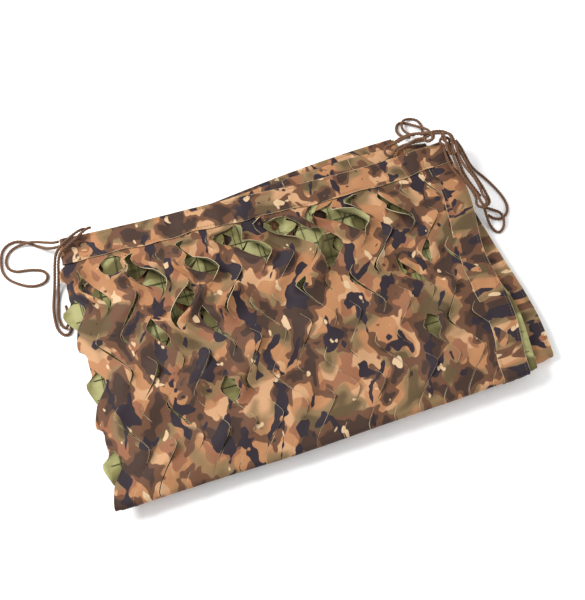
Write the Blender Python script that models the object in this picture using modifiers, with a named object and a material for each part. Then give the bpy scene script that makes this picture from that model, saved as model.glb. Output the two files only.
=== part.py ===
"""A folded camouflage net: one sheet of leaf-cut cloth, its border tapes and its corner tie cords.

Metres, +Z up. +X runs along the long side of the stack, from its closed left fold to its open edges, and +Y runs from
the front fold to the taped back edge. The origin lies under the middle of the stack, on the surface it rests on.

The sheet is folded in half at the left, print outside, so that it has an upper and a lower ply. Both plies then go
back and forth as four panels: panel 1 on top starts at the head edge at the back, and panel 4 on the surface ends at
the foot edge. A place on the sheet is named by two numbers: across, from 1 at the upper ply's side edge through 0 at
the left fold to -1 at the lower ply's side edge, and along, from 0 at the head edge to 4 at the foot edge.
"""

import math

import bmesh
import bpy
from mathutils import Vector

MM = 0.001

# Driving sizes
SHEET = 1.0 * MM  # thickness of the cloth
TAPE = 1.0 * MM  # thickness of the border tapes
SEAM_GAP = 0.3 * MM  # air between a tape and the cloth it is sewn to
PLY_PITCH = 1.8 * MM  # middle of the upper ply to middle of the lower ply
PANEL_PITCH = 6.6 * MM  # middle of one panel to middle of the next
PANELS = 4
CORD = 3.0 * MM  # diameter of the tie cords

# The same sizes as shares of the sheet: of its half width across, and of one panel along
HALF_WIDTH = 480 * MM
PANEL_LENGTH = 325 * MM
TAPE_WIDTH = 32 * MM
TAPE_ACROSS = TAPE_WIDTH / HALF_WIDTH
TAPE_ALONG = TAPE_WIDTH / PANEL_LENGTH
HALF_TURN = math.pi / 2 * PLY_PITCH / 2 / HALF_WIDTH
HALF_FOLD = math.pi / 2 * PANEL_PITCH / 2 / PANEL_LENGTH

# Where a side tape stops short of the head and foot tapes
SIDE_TAPE_START = TAPE_ALONG + 0.6 * MM / PANEL_LENGTH

# Grid steps
ACROSS_STEPS = 10
ALONG_STEPS = 5
TURN_STEPS = 4
FOLD_STEPS = 5

# The tapes lift the cloth off the surface along the side and foot edges, easing down over LIFT_EASE
LIFT = TAPE + SEAM_GAP
LIFT_REACH = 36 * MM
LIFT_EASE = 14 * MM

# Side edges of the stack in mm: left fold, upper ply's edge and lower ply's edge, at places along the sheet
SIDE_EDGES = (
    # along, left, upper, lower
    (0.00, -236, 230, 221),
    (0.25, -245, 235, 220),
    (0.50, -243, 222, 217),
    (0.75, -247, 224, 230),
    (1.00, -250, 211, 221),
    (1.50, -241, 213, 213),
    (2.00, -238, 226, 214),
    (2.50, -243, 241, 222),
    (2.80, -245, 251, 232),
    (3.00, -246, 248, 234),
    (3.50, -242, 222, 214),
    (4.00, -237, 184, 180),
)

# Folds and free edges in mm, at places along the stack's length
CROSS_EDGES = (
    # x, head, upper front fold, back fold, lower front fold, foot
    (-250, 157, -173, 149, -160, 138),
    (-150, 150, -172, 147, -161, 146),
    (-50, 145, -173, 150, -162, 158),
    (50, 138, -171, 156, -160, 169),
    (150, 137, -169, 158, -157, 175),
    (250, 142, -164, 142, -151, 174),
)

# The largest gaps, cut through both plies of the top panel: middle, length and width in mm, and turn in degrees
OPENINGS = (
    # x, y, length, width, turn
    (-190, 102, 34, 22, 20),
    (-160, 76, 24, 15, 60),
    (-99, 70, 24, 14, 10),
    (-121, 28, 32, 13, 65),
    (-159, 4, 30, 9, 75),
    (-62, 97, 26, 13, -40),
    (26, 74, 28, 20, 30),
    (65, 95, 30, 15, 15),
    (63, 42, 30, 14, 35),
    (147, 64, 22, 15, 80),
    (134, -15, 24, 14, 80),
    (131, -80, 26, 15, 80),
)

# Routes of the tie cords in mm, from where each leaves the net
ROUTES = {
    "cord_left_loop": (
        (-239, 150, 18.5), (-247, 152.5, 14.5), (-256, 158.5, 8.5), (-265, 167.5, 3), (-275, 176.5, 1.7),
        (-287, 182, 1.7), (-298, 180.5, 1.7), (-306, 173, 1.7), (-310, 160, 1.7), (-310.5, 147, 1.7),
        (-306, 136, 1.7), (-297, 127, 1.7), (-286, 120, 1.7), (-275, 117.5, 1.7), (-266, 120, 1.7),
        (-262.5, 127, 1.7), (-266, 134, 1.7), (-275, 138.5, 1.7), (-285, 141, 1.7), (-295, 143, 1.7),
        (-302.5, 148.5, 1.7), (-304.5, 157, 1.7), (-301.5, 166, 1.7), (-295, 172.5, 1.7),
        (-285, 175.5, 2.5), (-274.5, 174, 5.6), (-265, 170.5, 8.2), (-255, 164, 12.5),
        (-246, 158, 17), (-239, 156, 19),
    ),
    "cord_left_drop_outer": (
        (-206, 162, 20), (-210, 159, 26), (-217, 155, 29.5), (-228, 149.5, 29.5), (-238, 143.5, 28.5),
        (-245.5, 137, 25), (-250, 129, 18.5), (-254, 119, 10.5), (-258, 108, 4), (-262, 96, 1.7),
        (-265.5, 82, 1.7), (-267, 68, 1.7), (-266.5, 56, 1.7), (-262, 47.5, 1.7), (-256, 46.5, 1.7),
        (-252, 53, 1.7), (-251, 64, 1.7), (-251, 76, 1.7),
    ),
    "cord_left_drop_inner": (
        (-200, 162, 20), (-204, 158, 26), (-211, 152.5, 29.5), (-221, 146.5, 29.5), (-232, 140.5, 29),
        (-241, 134.5, 27), (-246, 126.5, 20.5), (-249.5, 117, 12.5), (-253.5, 106.5, 5.5),
        (-257, 94, 1.8), (-260.5, 81, 1.7), (-262.5, 70, 1.7), (-261.5, 59.5, 1.9), (-257, 54, 3.5),
        (-252.5, 59, 5.3), (-251, 69, 5.3), (-251, 80, 5.3),
    ),
    "cord_right_bight_outer": (
        (205, 164, 18), (202, 172, 11), (199.5, 180.5, 6.8), (199.5, 188, 5.4), (203, 195, 5.2),
        (209, 198, 3.2), (216, 197.5, 1.7), (221.5, 193.5, 1.7), (224, 187, 1.7), (223.5, 180, 2.5),
        (220.5, 172, 6.5), (215.5, 165, 13),
    ),
    "cord_right_bight_inner": (
        (199, 163, 17), (195, 171, 9), (192.5, 180, 3.6), (192.5, 188, 1.7), (196.5, 195, 1.7),
        (203, 196, 1.7), (209, 191, 3.2), (214, 185, 6), (219, 178.5, 9), (222.5, 171.5, 14),
        (223.5, 164, 20), (222, 157, 25),
    ),
    "cord_right_loop": (
        (248, 138, 24), (251, 129, 21), (254, 120, 14.5), (257.5, 111, 7), (262, 102, 2.6),
        (268.5, 90, 1.7), (275, 73, 1.7), (279, 57, 1.7), (279, 44, 1.7), (274, 34.5, 1.7), (265, 30.5, 1.7),
        (257.5, 33.5, 1.7), (252.5, 40, 1.7),
    ),
    "cord_right_curl": (
        (250.5, 48.5, 7), (256, 47, 3.6), (262, 43, 2.6), (266, 37.5, 4.4), (267, 30.5, 5.2),
        (266, 23.5, 3.6), (262, 17, 1.7), (256, 14, 1.7), (251.5, 18, 1.7), (249, 27, 3.5), (248, 36, 9),
        (247, 43.5, 15.5),
    ),
}

# Bunched strands: the line of middles in mm, with the bunch's half width and half height
BUNCHES = {
    "cord_right_hank": (
        8.0, 4.2,
        (
            (236.5, 143, 30.5), (238, 132, 31), (237.5, 118, 31), (237, 104, 31), (238, 90, 31),
            (240.5, 76, 31), (243, 63, 30.5), (244.5, 52, 29), (245.5, 43, 26.5),
        ),
    ),
    "cord_right_arch": (
        6.0, 3.4,
        (
            (163, 147.5, 23.6), (173, 152, 23.6), (186, 155.5, 24.6), (200, 155, 26.8), (212, 150.5, 30.4),
            (220, 146.5, 32),
        ),
    ),
}

# Colours (sRGB) and roughness
FINISHES = {
    "printed_cloth": ((0.66, 0.50, 0.36), 0.85),
    "border_tape": ((0.56, 0.43, 0.31), 0.80),
    "brown_cord": ((0.41, 0.31, 0.24), 0.75),
}


def empty_scene():
    for thing in list(bpy.data.objects):
        bpy.data.objects.remove(thing, do_unlink=True)


def collection_named(name, hidden=False):
    group = bpy.data.collections.new(name)
    group.hide_render = hidden
    bpy.context.scene.collection.children.link(group)
    return group


def finish_for(kind, node):
    """A Principled material of this kind, one for each node."""
    colour, roughness = FINISHES[kind]
    material = bpy.data.materials.new(f"{node}_{kind}")
    material.use_nodes = True
    shader = material.node_tree.nodes["Principled BSDF"]
    linear = [((c + 0.055) / 1.055) ** 2.4 for c in colour]
    shader.inputs["Base Color"].default_value = (*linear, 1.0)
    shader.inputs["Roughness"].default_value = roughness
    shader.inputs["Metallic"].default_value = 0.0
    return material


def smooth_row(table, column, at):
    """The value of a column at a place in the table's first column, on a smooth curve through the rows."""
    places = [row[0] for row in table]
    values = [row[column] for row in table]
    at = min(max(at, places[0]), places[-1])
    last = len(table) - 2
    i = max(k for k in range(last + 1) if places[k] <= at)
    step = places[i + 1] - places[i]
    t = (at - places[i]) / step

    def slope(k):
        before, after = max(k - 1, 0), min(k + 1, len(table) - 1)
        return (values[after] - values[before]) / (places[after] - places[before])

    rise, settle = slope(i) * step, slope(i + 1) * step
    near, far = values[i], values[i + 1]
    return (
        near * (2 * t**3 - 3 * t**2 + 1)
        + rise * (t**3 - 2 * t**2 + t)
        + far * (3 * t**2 - 2 * t**3)
        + settle * (t**3 - t**2)
    )


def side_edge(name, along):
    column = {"left": 1, "upper": 2, "lower": 3}[name]
    return smooth_row(SIDE_EDGES, column, along) * MM


def cross_edge(number, x):
    """Y of the head edge (0), the three folds (1 to 3) or the foot edge (4), at x."""
    return smooth_row(CROSS_EDGES, number + 1, x / MM) * MM


def panel_height(panel):
    """Height of the middle of a panel, counted from 0 at the top."""
    return SHEET / 2 + PLY_PITCH / 2 + (PANELS - 1 - panel) * PANEL_PITCH


def ease(amount):
    amount = min(max(amount, 0.0), 1.0)
    return amount * amount * (3 - 2 * amount)


def swell(x, y):
    """How much thicker than even the stack lies here, as a share of its height."""
    return (
        0.055 * math.sin(2 * math.pi * (x / 0.37 + y / 0.9 + 0.15))
        + 0.040 * math.sin(2 * math.pi * (y / 0.29 - x / 0.8 + 0.10))
    )


def lift(x, y):
    """How far the tapes under panel 4 hold the stack off the surface here."""
    foot = cross_edge(PANELS, x)
    front = cross_edge(PANELS - 1, x)
    place = PANELS - 1 + min(max((y - front) / (foot - front), 0.0), 1.0)
    inset = min(side_edge("upper", place) - x, foot - y)
    return LIFT * ease((LIFT_REACH + LIFT_EASE - inset) / LIFT_EASE)


def panel_line(along, x):
    """Y and Z of the middle of the two plies, and the way (y, z) from it to the upper ply."""
    half = PANEL_PITCH / 2
    fold = round(along)
    outward = -1 if fold % 2 else 1
    if 0 < fold < PANELS and abs(along - fold) < HALF_FOLD:
        turn = (along - fold + HALF_FOLD) / (2 * HALF_FOLD) * math.pi
        y = cross_edge(fold, x) - outward * half + outward * half * math.sin(turn)
        z = panel_height(fold - 1) - half + half * math.cos(turn)
        side = 1 if fold % 2 else -1
        return y, z, (side * outward * math.sin(turn), side * math.cos(turn))
    panel = min(int(along), PANELS - 1)
    start, end = panel, panel + 1
    first = start + HALF_FOLD if start else 0.0
    last = end - HALF_FOLD if end < PANELS else float(PANELS)
    inward = 1 if panel % 2 else -1
    y_first = cross_edge(start, x) + (inward * half if start else 0.0)
    y_last = cross_edge(end, x) - (inward * half if end < PANELS else 0.0)
    y = y_first + (y_last - y_first) * (along - first) / (last - first)
    return y, panel_height(panel), (0.0, 1.0 if panel % 2 == 0 else -1.0)


def cloth_middle(across, along):
    """The middle of the sheet's thickness at a place on it."""
    left = side_edge("left", along) + PLY_PITCH / 2
    if abs(across) < HALF_TURN:
        turn = across / HALF_TURN * math.pi / 2
        x = left - PLY_PITCH / 2 * math.cos(turn)
        offset = PLY_PITCH / 2 * math.sin(turn)
    else:
        right = side_edge("upper" if across > 0 else "lower", along)
        x = left + (right - left) * (abs(across) - HALF_TURN) / (1 - HALF_TURN)
        offset = math.copysign(PLY_PITCH / 2, across)
    y, z, way = panel_line(along, x)
    y += offset * way[0]
    z += offset * way[1]
    z = SHEET / 2 + (z - SHEET / 2) * (1 + swell(x, y)) + lift(x, y)
    return Vector((x, y, z))


def print_side(across, along):
    """The way that the printed face looks at a place on the sheet."""
    nudge = 1e-4
    by_across = cloth_middle(across + nudge, along) - cloth_middle(across - nudge, along)
    by_along = cloth_middle(across, along + nudge) - cloth_middle(across, along - nudge)
    return by_along.cross(by_across).normalized()


def even(first, last, steps):
    return [first + (last - first) * i / steps for i in range(steps + 1)]


def across_places():
    """The grid's places across the sheet, from the lower ply's edge to the upper ply's."""
    inner = even(HALF_TURN, 1 - TAPE_ACROSS, ACROSS_STEPS)
    edge = [1 - TAPE_ACROSS / 2, 1.0]
    turn = even(-HALF_TURN, HALF_TURN, TURN_STEPS)[1:-1]
    upper = inner + edge
    return [-a for a in reversed(upper)] + turn + upper


def along_places():
    """The grid's places along the sheet, from the head edge to the foot edge."""
    places = [0.0, TAPE_ALONG / 2, SIDE_TAPE_START]
    for panel in range(PANELS):
        start = panel + HALF_FOLD if panel else TAPE_ALONG
        end = panel + 1 - HALF_FOLD if panel < PANELS - 1 else PANELS - TAPE_ALONG
        places += even(start, end, ALONG_STEPS)
        if panel < PANELS - 1:
            places += even(end, end + 2 * HALF_FOLD, FOLD_STEPS)[1:-1]
    places += [PANELS - SIDE_TAPE_START, PANELS - TAPE_ALONG / 2, float(PANELS)]
    return sorted(set(places))


def sheet_piece(name, kind, across, along, rise, thickness, group):
    """A piece of cloth over these places on the sheet, its middle this far out on the print side."""
    mesh = bpy.data.meshes.new(name)
    grid = bmesh.new()
    columns, rows = len(across) - 1, len(along) - 1
    bmesh.ops.create_grid(grid, x_segments=columns, y_segments=rows, size=0.5)
    for corner in grid.verts:
        a = across[round((corner.co.x + 0.5) * columns)]
        b = along[round((corner.co.y + 0.5) * rows)]
        corner.co = cloth_middle(a, b)
        if rise:
            corner.co += rise * print_side(a, b)
    bmesh.ops.triangulate(grid, faces=grid.faces[:], quad_method="FIXED")
    bmesh.ops.reverse_faces(grid, faces=grid.faces[:])
    grid.to_mesh(mesh)
    grid.free()
    mesh.shade_smooth()
    mesh.materials.append(finish_for(kind, name))
    piece = bpy.data.objects.new(name, mesh)
    group.objects.link(piece)
    shell = piece.modifiers.new("thickness", "SOLIDIFY")
    shell.thickness = thickness
    shell.offset = 0.0
    return piece


def openings_cutter(group):
    """Prisms with the outline of a lens, from over the top panel down to the air under it."""
    mesh = bpy.data.meshes.new("openings_cutter")
    prisms = bmesh.new()
    for x, y, length, width, turn in OPENINGS:
        x, y = x * MM, y * MM
        top = panel_height(0) + 4 * MM
        bottom = panel_height(0) - PANEL_PITCH / 2
        stretch = 1 + swell(x, y)
        z_top = top * stretch + lift(x, y)
        z_bottom = bottom * stretch + lift(x, y)
        made = bmesh.ops.create_cone(
            prisms, cap_ends=True, segments=14, radius1=1, radius2=1, depth=z_top - z_bottom
        )
        angle = math.radians(turn)
        for corner in made["verts"]:
            along = corner.co.x * length / 2 * MM
            aside = corner.co.y * abs(corner.co.y) * width / 2 * MM
            corner.co.x = x + along * math.cos(angle) - aside * math.sin(angle)
            corner.co.y = y + along * math.sin(angle) + aside * math.cos(angle)
            corner.co.z += (z_top + z_bottom) / 2
    prisms.to_mesh(mesh)
    prisms.free()
    cutter = bpy.data.objects.new("openings_cutter", mesh)
    cutter.hide_render = True
    cutter.display_type = "WIRE"
    group.objects.link(cutter)
    return cutter


def smooth_route(route, step):
    """Points a step apart on a smooth curve through the route's points, given in mm."""
    points = [Vector(p) * MM for p in route]
    ends = [2 * points[0] - points[1], *points, 2 * points[-1] - points[-2]]
    fine = []
    for before, start, end, after in zip(ends, ends[1:], ends[2:], ends[3:]):
        for i in range(24):
            t = i / 24
            fine.append(
                0.5
                * (
                    2 * start
                    + (end - before) * t
                    + (2 * before - 5 * start + 4 * end - after) * t**2
                    + (3 * start - before - 3 * end + after) * t**3
                )
            )
    fine.append(points[-1])
    lengths = [0.0]
    for start, end in zip(fine, fine[1:]):
        lengths.append(lengths[-1] + (end - start).length)
    count = max(2, round(lengths[-1] / step))
    placed = []
    i = 0
    for k in range(count + 1):
        target = lengths[-1] * k / count
        while i < len(lengths) - 2 and lengths[i + 1] < target:
            i += 1
        share = (target - lengths[i]) / (lengths[i + 1] - lengths[i])
        placed.append(fine[i].lerp(fine[i + 1], share))
    return placed


def line_object(name, points, group):
    """A curve object with one straight-run spline through the points, ready for a bevel."""
    curve = bpy.data.curves.new(name, "CURVE")
    curve.dimensions = "3D"
    curve.use_fill_caps = True
    spline = curve.splines.new("POLY")
    spline.points.add(len(points) - 1)
    for place, point in zip(spline.points, points):
        place.co = (*point, 1.0)
    curve.materials.append(finish_for("brown_cord", name))
    thing = bpy.data.objects.new(name, curve)
    group.objects.link(thing)
    return thing


def cord(name, route, group):
    thing = line_object(name, smooth_route(route, 2.5 * CORD), group)
    thing.data.bevel_depth = CORD / 2
    thing.data.bevel_resolution = 2
    return thing


def oval_profile(name, half_width, half_height, group):
    curve = bpy.data.curves.new(name, "CURVE")
    curve.dimensions = "2D"
    spline = curve.splines.new("POLY")
    spline.points.add(11)
    spline.use_cyclic_u = True
    for i, place in enumerate(spline.points):
        turn = -2 * math.pi * i / 12
        place.co = (half_width * math.cos(turn), half_height * math.sin(turn), 0.0, 1.0)
    profile = bpy.data.objects.new(name, curve)
    profile.hide_render = True
    profile.display_type = "WIRE"
    group.objects.link(profile)
    return profile


def bunch(name, half_width, half_height, route, group, guides):
    """One closed solid of the outer form of strands that lie together, round at both ends."""
    points = smooth_route(route, 6 * MM)
    thing = line_object(name, points, group)
    thing.data.bevel_mode = "OBJECT"
    thing.data.bevel_object = oval_profile(f"{name}_profile", half_width * MM, half_height * MM, guides)
    thing.data.twist_mode = "Z_UP"
    last = len(points) - 1
    for i, place in enumerate(thing.data.splines[0].points):
        from_end = min(i, last - i)
        place.radius = (0.45, 0.85)[from_end] if from_end < 2 else 1.0
    return thing


def build():
    empty_scene()
    net = collection_named("camouflage_net")
    guides = collection_named("cutters", hidden=True)
    across, along = across_places(), along_places()

    cloth = sheet_piece("net_cloth", "printed_cloth", across, along, 0.0, SHEET, net)
    cut = cloth.modifiers.new("openings", "BOOLEAN")
    cut.operation = "DIFFERENCE"
    cut.object = openings_cutter(guides)

    rise = SHEET / 2 + SEAM_GAP + TAPE / 2
    head = [b for b in along if b <= TAPE_ALONG]
    foot = [b for b in along if b >= PANELS - TAPE_ALONG]
    side = [b for b in along if SIDE_TAPE_START <= b <= PANELS - SIDE_TAPE_START]
    upper = [a for a in across if a >= 1 - TAPE_ACROSS]
    lower = [a for a in across if a <= TAPE_ACROSS - 1]
    for name, part_across, part_along in (
        ("tape_head", across, head),
        ("tape_foot", across, foot),
        ("tape_side_upper", upper, side),
        ("tape_side_lower", lower, side),
    ):
        sheet_piece(name, "border_tape", part_across, part_along, rise, TAPE, net)

    for name, route in ROUTES.items():
        cord(name, route, net)
    for name, (half_width, half_height, route) in BUNCHES.items():
        bunch(name, half_width, half_height, route, net, guides)


build()
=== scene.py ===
# %% [markdown]
# # A folded camouflage net
#
# The object is one sheet of printed cloth, 0.96 by 1.30 m, slit all over so that it opens like leaves. A
# backing net of thin strings holds it together, and border tapes are sewn round its edges. It lies folded
# as a flat stack: once down the middle, at the left, and then back and forth in four panels. Brown tie
# cords come out at the two back corners of the stack.
#
# The solids of the CAD model fix where everything is. This script makes the surfaces that are seen: it
# repeats the folds and the cords' routes, and adds the slits, the leaves, the strings, the stitches and
# the colours.

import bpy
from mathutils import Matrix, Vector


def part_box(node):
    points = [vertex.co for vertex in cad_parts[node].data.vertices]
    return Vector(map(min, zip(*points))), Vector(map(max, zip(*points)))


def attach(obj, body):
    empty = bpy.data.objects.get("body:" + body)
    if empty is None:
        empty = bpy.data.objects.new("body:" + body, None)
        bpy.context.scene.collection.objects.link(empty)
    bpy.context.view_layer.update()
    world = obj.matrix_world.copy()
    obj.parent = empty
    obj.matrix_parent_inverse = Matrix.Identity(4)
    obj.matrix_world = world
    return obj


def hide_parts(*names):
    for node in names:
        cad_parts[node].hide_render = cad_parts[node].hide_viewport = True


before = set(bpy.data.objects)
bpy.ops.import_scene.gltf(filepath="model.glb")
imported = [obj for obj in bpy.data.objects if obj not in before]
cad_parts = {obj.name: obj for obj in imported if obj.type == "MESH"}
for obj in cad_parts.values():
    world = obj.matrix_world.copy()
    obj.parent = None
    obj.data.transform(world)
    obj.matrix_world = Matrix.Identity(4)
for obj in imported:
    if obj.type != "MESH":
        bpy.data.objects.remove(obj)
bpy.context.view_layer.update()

# %% Modules and the unit
import math

import bmesh
import bpy
import numpy as np
from mathutils import Vector

MM = 0.001
PI = math.pi
cloth_low, cloth_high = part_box("net_cloth")
print("folded cloth:", [round(c / MM, 1) for c in cloth_high - cloth_low], "mm")

# %% [markdown]
# ## The camera
#
# The stack is seen from the front, turned 18.5 degrees and from 64 degrees above the table, so that its
# long side rises to the right. A lens of 66 mm at 1.25 m keeps the far edge nearly as long as the near
# one. The camera aims close to the middle of the cloth's box in model.glb.

# %% Camera
VIEW_TURN = math.radians(18.5)
VIEW_HEIGHT = math.radians(64)
VIEW_DISTANCE = 1.25
LENS = 66
OFF_MIDDLE = Vector((-5, 2.5, -2.5)) * MM

aim = (cloth_low + cloth_high) / 2 + OFF_MIDDLE
look = Vector((
    math.sin(VIEW_TURN) * math.cos(VIEW_HEIGHT),
    math.cos(VIEW_TURN) * math.cos(VIEW_HEIGHT),
    -math.sin(VIEW_HEIGHT),
))
camera = bpy.data.objects.new("camera", bpy.data.cameras.new("camera"))
camera.data.lens = LENS
camera.location = aim - VIEW_DISTANCE * look
camera.rotation_mode = "QUATERNION"
camera.rotation_quaternion = look.to_track_quat("-Z", "Y")
bpy.context.scene.collection.objects.link(camera)
bpy.context.scene.camera = camera
print("camera at", [round(c, 3) for c in camera.location])

# %% [markdown]
# ## Lines and tubes
#
# Cords, strings and stitches are all tubes along a line, so two helpers serve them all. The first one
# lays evenly spaced points on a smooth curve through a few points chosen by hand. The second one puts a
# ring of points round each of them and skins the rings. A curve object with a bevel could do it too, but
# a mesh lets the ring turn as it goes, which gives the twist of a cord, and it joins thousands of strings
# in one object.

# %% Smooth line through a route
ARC_POINTS = 24  # places worked out between two points of a route


def smooth_line(route, step):
    """Points a step apart on the smooth curve through a route's points."""
    route = np.array(route, float)
    ends = np.vstack([2 * route[0] - route[1], route, 2 * route[-1] - route[-2]])
    t = np.linspace(0, 1, ARC_POINTS, endpoint=False)[:, None]
    arcs = [
        b + (c - a) / 2 * t + (2 * a - 5 * b + 4 * c - d) / 2 * t**2 + (3 * b - a - 3 * c + d) / 2 * t**3
        for a, b, c, d in zip(ends, ends[1:], ends[2:], ends[3:])
    ]
    fine = np.vstack([*arcs, route[-1:]])
    so_far = np.concatenate([[0], np.cumsum(np.linalg.norm(np.diff(fine, axis=0), axis=1))])
    at = np.linspace(0, so_far[-1], max(2, round(so_far[-1] / step)) + 1)
    return np.stack([np.interp(at, so_far, fine[:, k]) for k in range(3)], axis=1)


def line_length(line):
    return float(np.linalg.norm(np.diff(line, axis=0), axis=1).sum())


# %% Tubes along lines
NOT_ALONG = (0.3, 0.2, 1.0)  # a way that no line starts in
NARROWED = 0.35  # of the width, at the ends of a tapered tube
TUBE_SMOOTH = math.radians(70)  # edges sharper than this aren't shaded smooth


def unit(vectors):
    return vectors / np.maximum(np.linalg.norm(vectors, axis=-1, keepdims=True), 1e-12)


def tube_rings(line, radii, turn_per_metre=0.0):
    """A ring of points round each point of a line. radii has one number for each corner of the ring."""
    forward = unit(np.gradient(line, axis=0))
    side = unit(np.cross(forward[0], NOT_ALONG))
    sides = []
    for way in forward:
        side = unit(side - way * (side @ way))
        sides.append(side)
    sides = np.array(sides)
    ups = np.cross(forward, sides)
    corners = 2 * PI * np.arange(len(radii)) / len(radii)
    travel = np.concatenate([[0], np.cumsum(np.linalg.norm(np.diff(line, axis=0), axis=1))])
    angle = corners[None] + turn_per_metre * travel[:, None]
    spread = np.cos(angle)[..., None] * sides[:, None] + np.sin(angle)[..., None] * ups[:, None]
    return line[:, None] + np.asarray(radii)[None, :, None] * spread, travel, corners


def add_tubes(name, lines, radii, turn_per_metre=0.0, taper=False):
    """One mesh object with a closed tube along each line, and a UV map in metres: round it, and along it."""
    points, faces, flat = [], [], []
    count = 0
    around = len(radii)
    for line in lines:
        rings, travel, corners = tube_rings(line, radii, turn_per_metre)
        if taper:
            ends = line[[0, -1], None]
            rings[[0, -1]] = ends + NARROWED * (rings[[0, -1]] - ends)
        rows = len(line)
        points.append(rings.reshape(-1, 3))
        i, j = np.meshgrid(np.arange(rows - 1), np.arange(around), indexing="ij")
        here, beside = i * around + j, i * around + (j + 1) % around
        quads = np.stack([here, beside, beside + around, here + around], -1).reshape(-1, 4) + count
        faces += quads.tolist()
        girth = np.append(corners, 2 * PI) * np.mean(radii)
        flat.append(np.stack([
            np.stack([girth[j], travel[i]], -1), np.stack([girth[j + 1], travel[i]], -1),
            np.stack([girth[j + 1], travel[i + 1]], -1), np.stack([girth[j], travel[i + 1]], -1),
        ], 2).reshape(-1, 2))
        first, last = count, count + (rows - 1) * around
        faces.append(list(range(first + around - 1, first - 1, -1)))
        faces.append(list(range(last, last + around)))
        flat.append(np.zeros((2 * around, 2)))
        count += rows * around
    mesh = bpy.data.meshes.new(name)
    mesh.from_pydata(np.vstack(points).tolist(), [], faces)
    layer = mesh.uv_layers.new(name="flat")
    layer.data.foreach_set("uv", np.vstack(flat).astype(np.float32).ravel())
    mesh.shade_smooth()
    mesh.set_sharp_from_angle(angle=TUBE_SMOOTH)
    piece = bpy.data.objects.new(name, mesh)
    bpy.context.scene.collection.objects.link(piece)
    return piece


# %% [markdown]
# ## The tie cords
#
# Brown cords about 3 mm thick come out at the two back corners of the stack, to tie the net up with. They
# lie in loops on the table, two strands drop over the left corner, and at the right corner most of the
# length is gathered in a hank and along the back edge. A cord is limp, so its loops are round and lie
# flat wherever nothing holds them up.
#
# The points of each route are given as in the CAD model, in millimetres. A simulation could
# drop the cords on the table, but it wouldn't lay them where the CAD model has them.

# %% Routes of the single cords
CORD = 3.0 * MM

ROUTES = {
    "cord_left_loop": (
        (-239, 150, 18.5), (-247, 152.5, 14.5), (-256, 158.5, 8.5), (-265, 167.5, 3), (-275, 176.5, 1.7),
        (-287, 182, 1.7), (-298, 180.5, 1.7), (-306, 173, 1.7), (-310, 160, 1.7), (-310.5, 147, 1.7),
        (-306, 136, 1.7), (-297, 127, 1.7), (-286, 120, 1.7), (-275, 117.5, 1.7), (-266, 120, 1.7),
        (-262.5, 127, 1.7), (-266, 134, 1.7), (-275, 138.5, 1.7), (-285, 141, 1.7), (-295, 143, 1.7),
        (-302.5, 148.5, 1.7), (-304.5, 157, 1.7), (-301.5, 166, 1.7), (-295, 172.5, 1.7),
        (-285, 175.5, 2.5), (-274.5, 174, 5.6), (-265, 170.5, 8.2), (-255, 164, 12.5),
        (-246, 158, 17), (-239, 156, 19),
    ),
    "cord_left_drop_outer": (
        (-206, 162, 20), (-210, 159, 26), (-217, 155, 29.5), (-228, 149.5, 29.5), (-238, 143.5, 28.5),
        (-245.5, 137, 25), (-250, 129, 18.5), (-254, 119, 10.5), (-258, 108, 4), (-262, 96, 1.7),
        (-265.5, 82, 1.7), (-267, 68, 1.7), (-266.5, 56, 1.7), (-262, 47.5, 1.7), (-256, 46.5, 1.7),
        (-252, 53, 1.7), (-251, 64, 1.7), (-251, 76, 1.7),
    ),
    "cord_left_drop_inner": (
        (-200, 162, 20), (-204, 158, 26), (-211, 152.5, 29.5), (-221, 146.5, 29.5), (-232, 140.5, 29),
        (-241, 134.5, 27), (-246, 126.5, 20.5), (-249.5, 117, 12.5), (-253.5, 106.5, 5.5),
        (-257, 94, 1.8), (-260.5, 81, 1.7), (-262.5, 70, 1.7), (-261.5, 59.5, 1.9), (-257, 54, 3.5),
        (-252.5, 59, 5.3), (-251, 69, 5.3), (-251, 80, 5.3),
    ),
    "cord_right_bight_outer": (
        (205, 164, 18), (202, 172, 11), (199.5, 180.5, 6.8), (199.5, 188, 5.4), (203, 195, 5.2),
        (209, 198, 3.2), (216, 197.5, 1.7), (221.5, 193.5, 1.7), (224, 187, 1.7), (223.5, 180, 2.5),
        (220.5, 172, 6.5), (215.5, 165, 13),
    ),
    "cord_right_bight_inner": (
        (199, 163, 17), (195, 171, 9), (192.5, 180, 3.6), (192.5, 188, 1.7), (196.5, 195, 1.7),
        (203, 196, 1.7), (209, 191, 3.2), (214, 185, 6), (219, 178.5, 9), (222.5, 171.5, 14),
        (223.5, 164, 20), (222, 157, 25),
    ),
    "cord_right_loop": (
        (248, 138, 24), (251, 129, 21), (254, 120, 14.5), (257.5, 111, 7), (262, 102, 2.6),
        (268.5, 90, 1.7), (275, 73, 1.7), (279, 57, 1.7), (279, 44, 1.7), (274, 34.5, 1.7), (265, 30.5, 1.7),
        (257.5, 33.5, 1.7), (252.5, 40, 1.7),
    ),
    "cord_right_curl": (
        (250.5, 48.5, 7), (256, 47, 3.6), (262, 43, 2.6), (266, 37.5, 4.4), (267, 30.5, 5.2),
        (266, 23.5, 3.6), (262, 17, 1.7), (256, 14, 1.7), (251.5, 18, 1.7), (249, 27, 3.5), (248, 36, 9),
        (247, 43.5, 15.5),
    ),
    "cord_right_corner": (
        (209, 149.5, 27), (214, 152.5, 29.5), (221, 153.5, 31), (229, 152.5, 31.5), (236, 149, 32),
        (240, 143.5, 33), (240.5, 137, 34), (239, 130, 34.2), (237, 122, 34), (236, 114, 33.8),
    ),
    "cord_right_corner_inner": (
        (205, 151, 25), (211, 149, 29.5), (218, 149.5, 32.2), (226, 149, 33), (232, 145.5, 34),
        (233.5, 139.5, 34.6), (232, 132.5, 34.4), (230.5, 124, 34.2), (230.5, 115, 33.6),
    ),
}

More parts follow.
